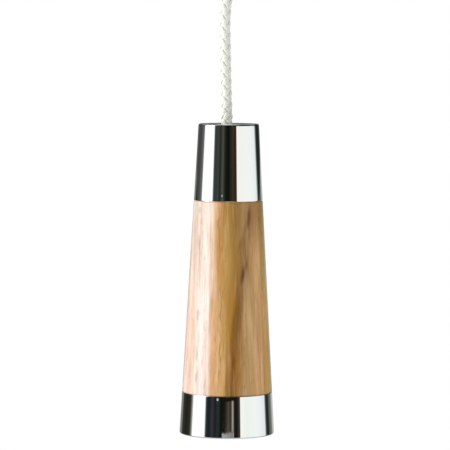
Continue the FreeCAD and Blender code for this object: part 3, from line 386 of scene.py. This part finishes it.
OAK_LOWER = (  # from the middle to the foot
    (0.195, (0.72, 0.58, 0.52)), (0.21, (0.71, 0.50, 0.42)), (0.24, (0.78, 0.61, 0.52)),
    (0.27, (0.75, 0.60, 0.54)), (0.30, (0.79, 0.66, 0.65)), (0.336, (0.86, 0.72, 0.66)),
    (0.354, (0.67, 0.45, 0.32)), (0.37, (0.58, 0.34, 0.19)), (0.39, (0.65, 0.37, 0.18)),
    (0.43, (0.72, 0.45, 0.20)), (0.46, (0.60, 0.34, 0.10)), (0.50, (0.46, 0.22, 0.03)),
    (0.54, (0.47, 0.20, 0.015)), (0.60, (0.39, 0.18, 0.035)), (0.64, (0.51, 0.29, 0.10)),
    (0.675, (0.55, 0.33, 0.13)), (0.71, (0.51, 0.30, 0.105)), (0.75, (0.65, 0.35, 0.15)),
    (0.79, (0.73, 0.39, 0.145)), (0.84, (0.55, 0.33, 0.08)), (0.87, (0.52, 0.35, 0.12)),
    (0.9, (0.54, 0.40, 0.18)), (0.93, (0.62, 0.47, 0.27)))
OAK_HALF_SPAN = 16.0  # of the layers that the tones go across
# Two thin wavy veins, a rusty one and a brown one: (layer, swing, waves a millimetre, colour).
VEINS = ((-2.1, 1.5, 0.3, (0.42, 0.165, 0.03)), (2.3, 1.2, 0.2, (0.24, 0.11, 0.015)))
# The heart streak that slants across the front: (share of the way down, its middle layer).
STREAK = ((0, 5.6), (0.12, 5.45), (0.25, 4.5), (0.38, 3.9), (0.52, 3.0), (0.67, 1.95), (1, 0.9))
STREAK_SPAN = 8.0  # the curve node holds shares of this
STREAK_STRENGTH = ((0.0, 0.35), (0.12, 0.6), (0.3, 0.6), (0.4, 0.7), (0.5, 1.0), (0.8, 0.95),
                   (0.9, 1.0), (1.0, 1.0))
# Brown flecks along its upper half: (share of the way down, half length, shift, half width, depth).
FLECKS = ((0.085, 0.045, 0.0, 0.5, 0.78), (0.375, 0.035, 0.0, 0.45, 0.98),
          (0.325, 0.02, 0.8, 0.35, 0.68), (0.22, 0.03, -1.6, 0.2, 0.55))


def oak_layer(s, place, x, y):
    """Which layer of the wood a point lies in. The layers are nearly flat, one after the other on X."""
    # they spread out towards the back, so that the pale tones, a painted highlight of the soft box,
    # stay at the front left
    spread = s.range(y, 1.0, s.range(x, 0.3, 0.55, -4.0, 4.0), -2.5, 4.0)
    layer = s.math("MULTIPLY_ADD", y, 0.14, s.math("MULTIPLY_ADD", x, spread, 1.4))
    # a slow wander and a quicker wiggle
    for waves, swing in (((0.1, 0.1, 0.022), 2.2), ((0.45, 0.45, 0.09), 0.9)):
        layer = s.math("MULTIPLY_ADD", s.math("SUBTRACT", s.noise(place, waves), 0.5), swing, layer)
    return layer


def oak_material():
    """Turned oak under a satin lacquer, with the grain along Z."""
    s = Surface("lacquered_oak", (0.5, 0.31, 0.14), 0.5, Specular_IOR_Level=0.06, Coat_Weight=0.6,
                Coat_Roughness=0.25, Coat_IOR=1.5)
    place = s.place()
    x, y, z = s.axes(place)
    down = s.range(z, 0.0, 1.0, OAK_TOP / MM, OAK_LOW / MM)
    layer = oak_layer(s, place, x, y)
    across = s.range(layer, 0.0, 1.0, -OAK_HALF_SPAN, OAK_HALF_SPAN)
    # the ramps' pale tones at the left are a painted highlight of the soft box; the rest mixes the
    # wood's bands with painted light and shade
    upper, middle, lower = (s.ramp(across, stops) for stops in (OAK_UPPER, OAK_MIDDLE, OAK_LOWER))
    tone = s.mix(s.range(down, 0.0, 1.0, 0.08, 0.3), upper, middle)
    tone = s.mix(s.range(down, 0.0, 1.0, 0.36, 0.52), tone, lower)
    # the veins come and go down the length
    for at, swing, waves, colour in VEINS:
        bend = s.math("SUBTRACT", s.noise(place, (0.02, 0.02, waves), 1), 0.5)
        away = s.math("SUBTRACT", layer, s.math("MULTIPLY_ADD", bend, swing, at))
        there = s.range(s.noise(place, (0.3, 0.3, 0.14)), 0.0, 0.75, 0.42, 0.56)
        tone = s.mix(s.math("MULTIPLY", s.window(away, -0.18, 0.18, 0.16), there), tone, colour)
    # growth rings: a sharp dark start and a slow return to pale wood
    along = s.put("CombineXYZ", {"X": layer, "Z": s.math("MULTIPLY", z, 0.02)})
    rings = s.put("TexWave", {"Vector": along, "Scale": 0.062, "Distortion": 1.6, "Detail": 2.0,
                              "Detail Scale": 1.2},
                  out="Fac", wave_type="BANDS", bands_direction="X", wave_profile="SAW")
    tone = s.mix(s.range(rings, 0.0, 0.22, 0.35, 1.0), tone, (0.33, 0.18, 0.055))
    # the heart streak, darker and ragged
    curve = s.put("FloatCurve", {"Value": down}, out=None)
    points = curve.mapping.curves[0].points
    for at, value in STREAK[1:-1]:
        points.new(at, value / STREAK_SPAN)
    for end in (0, -1):
        points[end].location = (STREAK[end][0], STREAK[end][1] / STREAK_SPAN)
    curve.mapping.update()
    aside = s.math("SUBTRACT", layer, s.math("MULTIPLY", curve.outputs[0], STREAK_SPAN))
    broad = s.math("MULTIPLY", s.window(aside, -1.3, 1.15, 0.8), s.ramp(down, STREAK_STRENGTH))
    ragged = s.range(s.noise(place, (0.9, 0.9, 0.07), 3, 0.6), 0.48, 1.0, 0.35, 0.62)
    tone = s.mix(s.math("MULTIPLY", broad, ragged), tone, (0.165, 0.062, 0.0))
    # grain lines and open pores
    broad_grain = s.noise(place, (0.75, 0.75, 0.022), 3, 0.6)
    fine_grain = s.noise(place, (2.6, 2.6, 0.06), 3, 0.6)
    tone = s.mix(s.range(broad_grain, 0.0, 0.42, 0.42, 0.68), tone, (0.32, 0.175, 0.05))
    tone = s.mix(s.range(broad_grain, 0.3, 0.0, 0.3, 0.47), tone, (0.78, 0.55, 0.32))
    tone = s.mix(s.range(fine_grain, 0.0, 0.3, 0.48, 0.7), tone, (0.31, 0.17, 0.055))
    pores = s.range(s.noise(place, (4.6, 4.6, 0.34)), 0.0, 1.0, 0.6, 0.68)
    open_pores = s.math("MULTIPLY", pores, s.range(rings, 0.25, 0.9, 0.2, 0.9))
    tone = s.mix(s.math("MULTIPLY", open_pores, 0.55), tone, (0.17, 0.095, 0.045))
    for at, length, shift, width, depth in FLECKS:
        fleck = s.math("MULTIPLY", s.window(down, at - length, at + length, 0.03),
                       s.window(aside, shift - width, shift + width, 0.35))
        tone = s.mix(s.math("MULTIPLY", fleck, depth), tone, (0.13, 0.043, 0.0))
    # a row of grey pores down the pale side
    row = s.math("SUBTRACT", layer, s.range(down, -6.3, -7.9))
    dashes = s.range(s.noise(place, (0.02, 0.02, 0.16), 1), 0.0, 1.0, 0.52, 0.6)
    row_pores = s.math("MULTIPLY", s.window(row, -0.28, 0.28, 0.2), dashes)
    tone = s.mix(s.math("MULTIPLY", row_pores, 0.5), tone, (0.26, 0.24, 0.21))
    s.set("Base Color", tone)
    s.set("Roughness", s.range(open_pores, 0.36, 0.6))
    height = s.math("MULTIPLY_ADD", open_pores, -1.0, s.math("MULTIPLY", fine_grain, 0.25))
    return s.bump(height, 0.03, 0.5).material


CORD = braid_material()
FINISHES = {
    "cord": knot_material(),
    "white_moulding": moulded("white_moulding", (0.80, 0.80, 0.775), 0.3, 0.05, IOR=1.5),
    "frame_moulding": moulded("frame_moulding", (0.60, 0.58, 0.51), 0.5, 0.25, 0.04),
    "slider_moulding": moulded("slider_moulding", (0.03, 0.032, 0.036), 0.42, 0.1, 0.04),
    "brass": metal("brass", (0.82, 0.60, 0.27), (0.52, 0.34, 0.14), 0.27),
    "spring_steel": metal("spring_steel", (0.56, 0.57, 0.59), (0.36, 0.36, 0.37), 0.25),
    "screw_steel": metal("plated_screws", (0.70, 0.71, 0.72), (0.52, 0.53, 0.52), 0.24),
    "contact_silver": metal("contact_silver", (0.88, 0.86, 0.82), (0.45, 0.40, 0.33), 0.22, 0.4),
    "chrome": chrome_material(),
    "oak": oak_material()}
for part in frame["record"]["subparts"]:
    for slot in nodes[part["node"]].material_slots:
        slot.material = FINISHES[part["material_slot"]]

# ---------------------------------------------------------------- the cords
short_cord, short_path, short_length = braided_cord("braided_switch_cord", SHORT_ROUTE, CORD)
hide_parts("switch_cord", "hanging_cord")
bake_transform(short_cord)

long_cord, long_path, long_length = braided_cord("braided_pull_cord", LONG_ROUTE, CORD)
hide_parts("pull_cord_top", "pull_cord")
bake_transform(long_cord)


# ---------------------------------------------------------------- the springs
def spring_wire(node):
    """The wire of a spring's node as a piece of its own."""
    made = bpy.data.objects.new(node + "_wire", nodes[node].data.copy())
    bpy.context.collection.objects.link(made)
    made.matrix_world = nodes[node].matrix_world
    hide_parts(node)
    return made


# the return spring's wire goes with the housing, on a mesh of its own
return_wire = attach(spring_wire("return_spring"), "housing")
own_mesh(return_wire)
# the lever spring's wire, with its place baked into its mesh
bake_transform(spring_wire("lever_spring"))
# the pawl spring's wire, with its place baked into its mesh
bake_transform(spring_wire("pawl_spring"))

# ---------------------------------------------------------------- the studio
WALL_RADIUS, CARD_RADIUS = 0.9, 0.885
WALL_STEP = 3  # degrees between two edges of a wall
HIGH = 0.35
SPLIT = -0.15  # the ferrule shows the walls above this height and the foot shows those below it
LOW = -0.5
GROUND = -1.05
CEILING_LEFT_RADIUS = 1.2
LAMP_AIM = Vector((0, 0, -0.15))
LAMP_AZIMUTH, LAMP_DISTANCE, LAMP_RISE = -76, 0.88, 0.12
LAMP_SIZE, LAMP_POWER = (0.56, 0.6), 6.3
FLOOR_HALF, FLOOR_DROP = 1.5, 0.25
FLOOR_FADE = (500, 1400)  # mm from the middle
WORLD_LIGHT = 0.85  # on surfaces. What is seen of the world is 1, which is white


def around(azimuth, radius, height):
    """A place round the object. Azimuth 0 is the camera's side and 90 the right."""
    a = math.radians(azimuth)
    return radius * math.sin(a), -radius * math.cos(a), height


def glow(name, colour):
    """A plain glowing material. colour may also be a list of stops along U."""
    material = bpy.data.materials.new(name)
    material.use_nodes = True
    graph = Graph(material.node_tree)
    graph.tree.nodes.clear()
    if isinstance(colour, list):
        colour = graph.ramp(graph.axes(graph.put("UVMap"))[0], colour)
    else:
        colour = rgba(colour)
    graph.put("OutputMaterial", {"Surface": graph.put("Emission", {"Color": colour})}, out=None)
    return material


def card(name, verts, colour, faces=None, uvs=()):
    """A piece of the studio that only shows as a reflection: one flat face, unless faces are given."""
    made = mesh_object(name, verts, faces or [tuple(range(len(verts)))], glow(name, colour), uvs)
    made.visible_camera = made.visible_diffuse = made.visible_transmission = False
    made.visible_volume_scatter = made.visible_shadow = False


def wall(name, low, high, stops, radius=WALL_RADIUS):
    """A round wall whose glow changes evenly from stop to stop. stops are (azimuth, colour)."""
    first, last = stops[0][0], stops[-1][0]
    steps = round((last - first) / WALL_STEP)
    verts, faces, uvs = [], [], []
    for k in range(steps + 1):
        azimuth = first + (last - first) * k / steps
        verts += [around(azimuth, radius, low), around(azimuth, radius, high)]
    for k in range(steps):
        faces.append((2 * k, 2 * k + 2, 2 * k + 3, 2 * k + 1))
        uvs += [(k / steps, 0), ((k + 1) / steps, 0), ((k + 1) / steps, 1), (k / steps, 1)]
    card(name, verts, [((at - first) / (last - first), colour) for at, colour in stops], faces, uvs)


wall("wall_front_high", SPLIT, HIGH, (
    (-101, (0.30, 0.30, 0.28)), (-99, (1.2, 1.2, 1.2)), (-56, (1.2, 1.2, 1.2)),
    (-52.5, (0.12, 0.12, 0.13)), (-50, (0.046, 0.05, 0.052)), (-42, (0.040, 0.045, 0.041)),
    (-36, (0.052, 0.059, 0.05)), (-30, (0.018, 0.021, 0.014)), (-20, (0.075, 0.083, 0.066)),
    (-14, (0.022, 0.026, 0.02)), (-7, (0.007, 0.0085, 0.006)), (1, (0.0052, 0.0064, 0.004)),
    (8, (0.026, 0.020, 0.0135)), (16, (0.050, 0.033, 0.020)), (22, (0.032, 0.020, 0.011)),
    (28, (0.034, 0.024, 0.015)), (30, (1.07, 1.02, 0.94)), (45, (1.04, 1.02, 0.95)),
    (75, (1.01, 1.04, 1.0)), (92, (0.97, 1.02, 1.0)), (111, (0.90, 0.95, 0.94))))
wall("wall_back_high", SPLIT, HIGH, (
    (111, (0.80, 0.85, 0.84)), (115.5, (0.36, 0.38, 0.38)), (119, (0.09, 0.10, 0.10)),
    (122.5, (0.017, 0.021, 0.022)), (146, (0.019, 0.023, 0.023)), (157, (0.10, 0.11, 0.10)),
    (173, (0.12, 0.13, 0.12)), (175, (0.17, 0.17, 0.17)), (185, (0.17, 0.17, 0.17)),
    (187, (0.14, 0.15, 0.14)), (205, (0.14, 0.15, 0.14)), (216, (0.070, 0.074, 0.067)),
    (236, (0.062, 0.065, 0.059)), (246, (0.095, 0.10, 0.09)), (255, (0.17, 0.17, 0.16)),
    (259, (0.30, 0.30, 0.28))))
wall("wall_front_low", LOW, SPLIT, (
    (-94, (1.2, 1.2, 1.15)), (-57, (1.2, 1.2, 1.2)), (-54, (0.10, 0.11, 0.12)),
    (-51, (0.021, 0.026, 0.029)), (-44, (0.012, 0.016, 0.019)), (-37, (0.040, 0.041, 0.048)),
    (-30, (0.013, 0.015, 0.019)), (-22, (0.025, 0.033, 0.031)), (-15, (0.005, 0.0075, 0.0055)),
    (-8, (0.010, 0.0095, 0.0065)), (-4, (0.018, 0.0145, 0.011)), (4, (0.088, 0.070, 0.048)),
    (9, (0.030, 0.023, 0.014)), (11, (0.10, 0.082, 0.07)), (14.5, (0.46, 0.42, 0.38)),
    (17, (0.04, 0.035, 0.025)), (19, (0.014, 0.011, 0.006)), (26, (0.012, 0.010, 0.006)),
    (28, (0.045, 0.041, 0.038)), (32, (0.035, 0.032, 0.028)), (34, (1.08, 1.06, 0.97)),
    (48, (0.97, 1.02, 0.93)), (75, (1.01, 1.04, 1.01)), (92, (0.97, 0.99, 1.0)),
    (108, (0.88, 0.90, 0.90))))
wall("wall_back_low", LOW, SPLIT, (
    (108, (0.86, 0.88, 0.88)), (110, (0.30, 0.32, 0.31)), (114, (0.035, 0.040, 0.037)),
    (123, (0.013, 0.016, 0.014)), (133, (0.13, 0.14, 0.13)), (144, (0.22, 0.235, 0.21)),
    (150, (0.44, 0.46, 0.42)), (154, (0.60, 0.62, 0.57)), (190, (0.50, 0.50, 0.47)),
    (197, (0.36, 0.37, 0.36)), (203, (0.18, 0.185, 0.18)), (212, (0.26, 0.26, 0.25)),
    (220, (0.036, 0.038, 0.031)), (240, (0.018, 0.0175, 0.0105)), (256, (0.032, 0.031, 0.02)),
    (260, (0.15, 0.15, 0.13)), (266, (0.60, 0.60, 0.56))))
# further down the walls are paler, which the underside of the foot shows
wall("wall_lowest", GROUND, LOW, (
    (-180, (0.42, 0.43, 0.42)), (-120, (0.22, 0.23, 0.22)), (-90, (0.75, 0.76, 0.75)),
    (-60, (0.70, 0.71, 0.70)), (-35, (0.25, 0.25, 0.25)), (20, (0.30, 0.30, 0.29)),
    (40, (0.85, 0.85, 0.83)), (100, (0.80, 0.81, 0.80)), (125, (0.25, 0.26, 0.25)),
    (180, (0.42, 0.43, 0.42))))
# small things in front: a pale stool, the shade over its legs, a gleam for each chromed piece, and
# a dark strip over the right side, which the ferrule's top edge shows
for name, start, end, low, high, colour in (
        ("stool_back", -1, 16, LOW, -0.2227, (0.13, 0.125, 0.115)),
        ("stool_seat", -4, 17, LOW, -0.2241, (0.36, 0.36, 0.34)),
        ("stool_foot", -12, 14, LOW, -0.2250, (0.37, 0.38, 0.36)),
        ("shade", -7, 20, -0.2100, SPLIT, (0.011, 0.009, 0.005)),
        ("gleam_low", -26, -21.5, -0.2109, -0.2084, (0.75, 0.76, 0.76)),
        ("gleam_high", -22.5, -19.5, -0.0931, -0.0906, (0.6, 0.6, 0.56)),
        ("strip_over_right", 20, 150, -0.03, HIGH, (0.008, 0.008, 0.008))):
    wall(name, low, high, ((start, colour), (end, colour)), CARD_RADIUS)

# the ceiling is dark, with a paler part at the back and another over the soft box
for name, near, far, grey in (("ceiling_front", -1, 0.2, 0.015), ("ceiling_back", 0.2, 1, 0.3)):
    card(name, [(-1, near, HIGH), (1, near, HIGH), (1, far, HIGH), (-1, far, HIGH)], grey)
UNDER_CEILING = HIGH - 0.01
card("ceiling_left", [(0, 0, UNDER_CEILING)] + [around(azimuth, CEILING_LEFT_RADIUS, UNDER_CEILING)
                                                for azimuth in (-52, -76, -100)], (0.4, 0.4, 0.39))

# the ground is grey with a paler round in its middle, so that chrome seen from above isn't white
for name, radius, height, grey in (("ground", 2.0, GROUND, 0.4),
                                   ("ground_middle", 0.5, GROUND + 0.01, 0.75)):
    card(name, [around(azimuth, radius, height) for azimuth in range(90, 450, 10)], grey)

# the soft box on the left, which chrome shows as its left white stripe
lamp = bpy.data.objects.new("soft_box", bpy.data.lights.new("soft_box", "AREA"))
bpy.context.collection.objects.link(lamp)
lamp.data.shape, lamp.data.energy = "RECTANGLE", LAMP_POWER
lamp.data.size, lamp.data.size_y = LAMP_SIZE
lamp.location = LAMP_AIM + Vector(around(LAMP_AZIMUTH, LAMP_DISTANCE, LAMP_RISE))
lamp.rotation_euler = (LAMP_AIM - lamp.location).to_track_quat("-Z", "Y").to_euler()

# the floor shows from above only, so that views from below aren't shut out, and fades out far away
pale = Surface("pale_floor", (0.9, 0.9, 0.9), 0.7)
place = pale.place()
speckle = pale.range(pale.noise(place, (0.02, 0.02, 0.02), 4), 0.0, 1.0, 0.3, 0.7)
pale.set("Base Color", pale.mix(speckle, (0.92, 0.92, 0.92), (0.88, 0.88, 0.88)))
reach = pale.put("VectorMath", {0: pale.scaled(place, (1, 1, 0))}, out="Value", operation="LENGTH")
unseen = pale.math("MAXIMUM", pale.put("NewGeometry", out="Backfacing"),
                   pale.range(reach, 0.0, 1.0, *FLOOR_FADE))
faded = pale.put("MixShader", {0: unseen, 1: pale.shader.outputs[0], 2: pale.put("BsdfTransparent")})
pale.tree.links.new(faded, pale.tree.nodes["Material Output"].inputs[0])
floor = mesh_object("floor", [(x * FLOOR_HALF, y * FLOOR_HALF, PULL_LOW - FLOOR_DROP)
                              for x, y in ((-1, -1), (1, -1), (1, 1), (-1, 1))],
                    [(0, 1, 2, 3)], pale.material)
floor.visible_glossy = False

# the world: plain white to look at and in reflections, and a little lower as light
world = bpy.data.worlds.new("studio")
bpy.context.scene.world = world
world.use_nodes = True
graph = Graph(world.node_tree)
background = graph.tree.nodes["Background"]
background.inputs["Color"].default_value = (1, 1, 1, 1)
rays = graph.put("LightPath", out=None).outputs
seen = graph.math("MAXIMUM", rays["Is Camera Ray"], rays["Is Glossy Ray"])
seen = graph.math("MAXIMUM", seen, rays["Is Transmission Ray"])
graph.tree.links.new(graph.range(seen, WORLD_LIGHT, 1.0), background.inputs["Strength"])
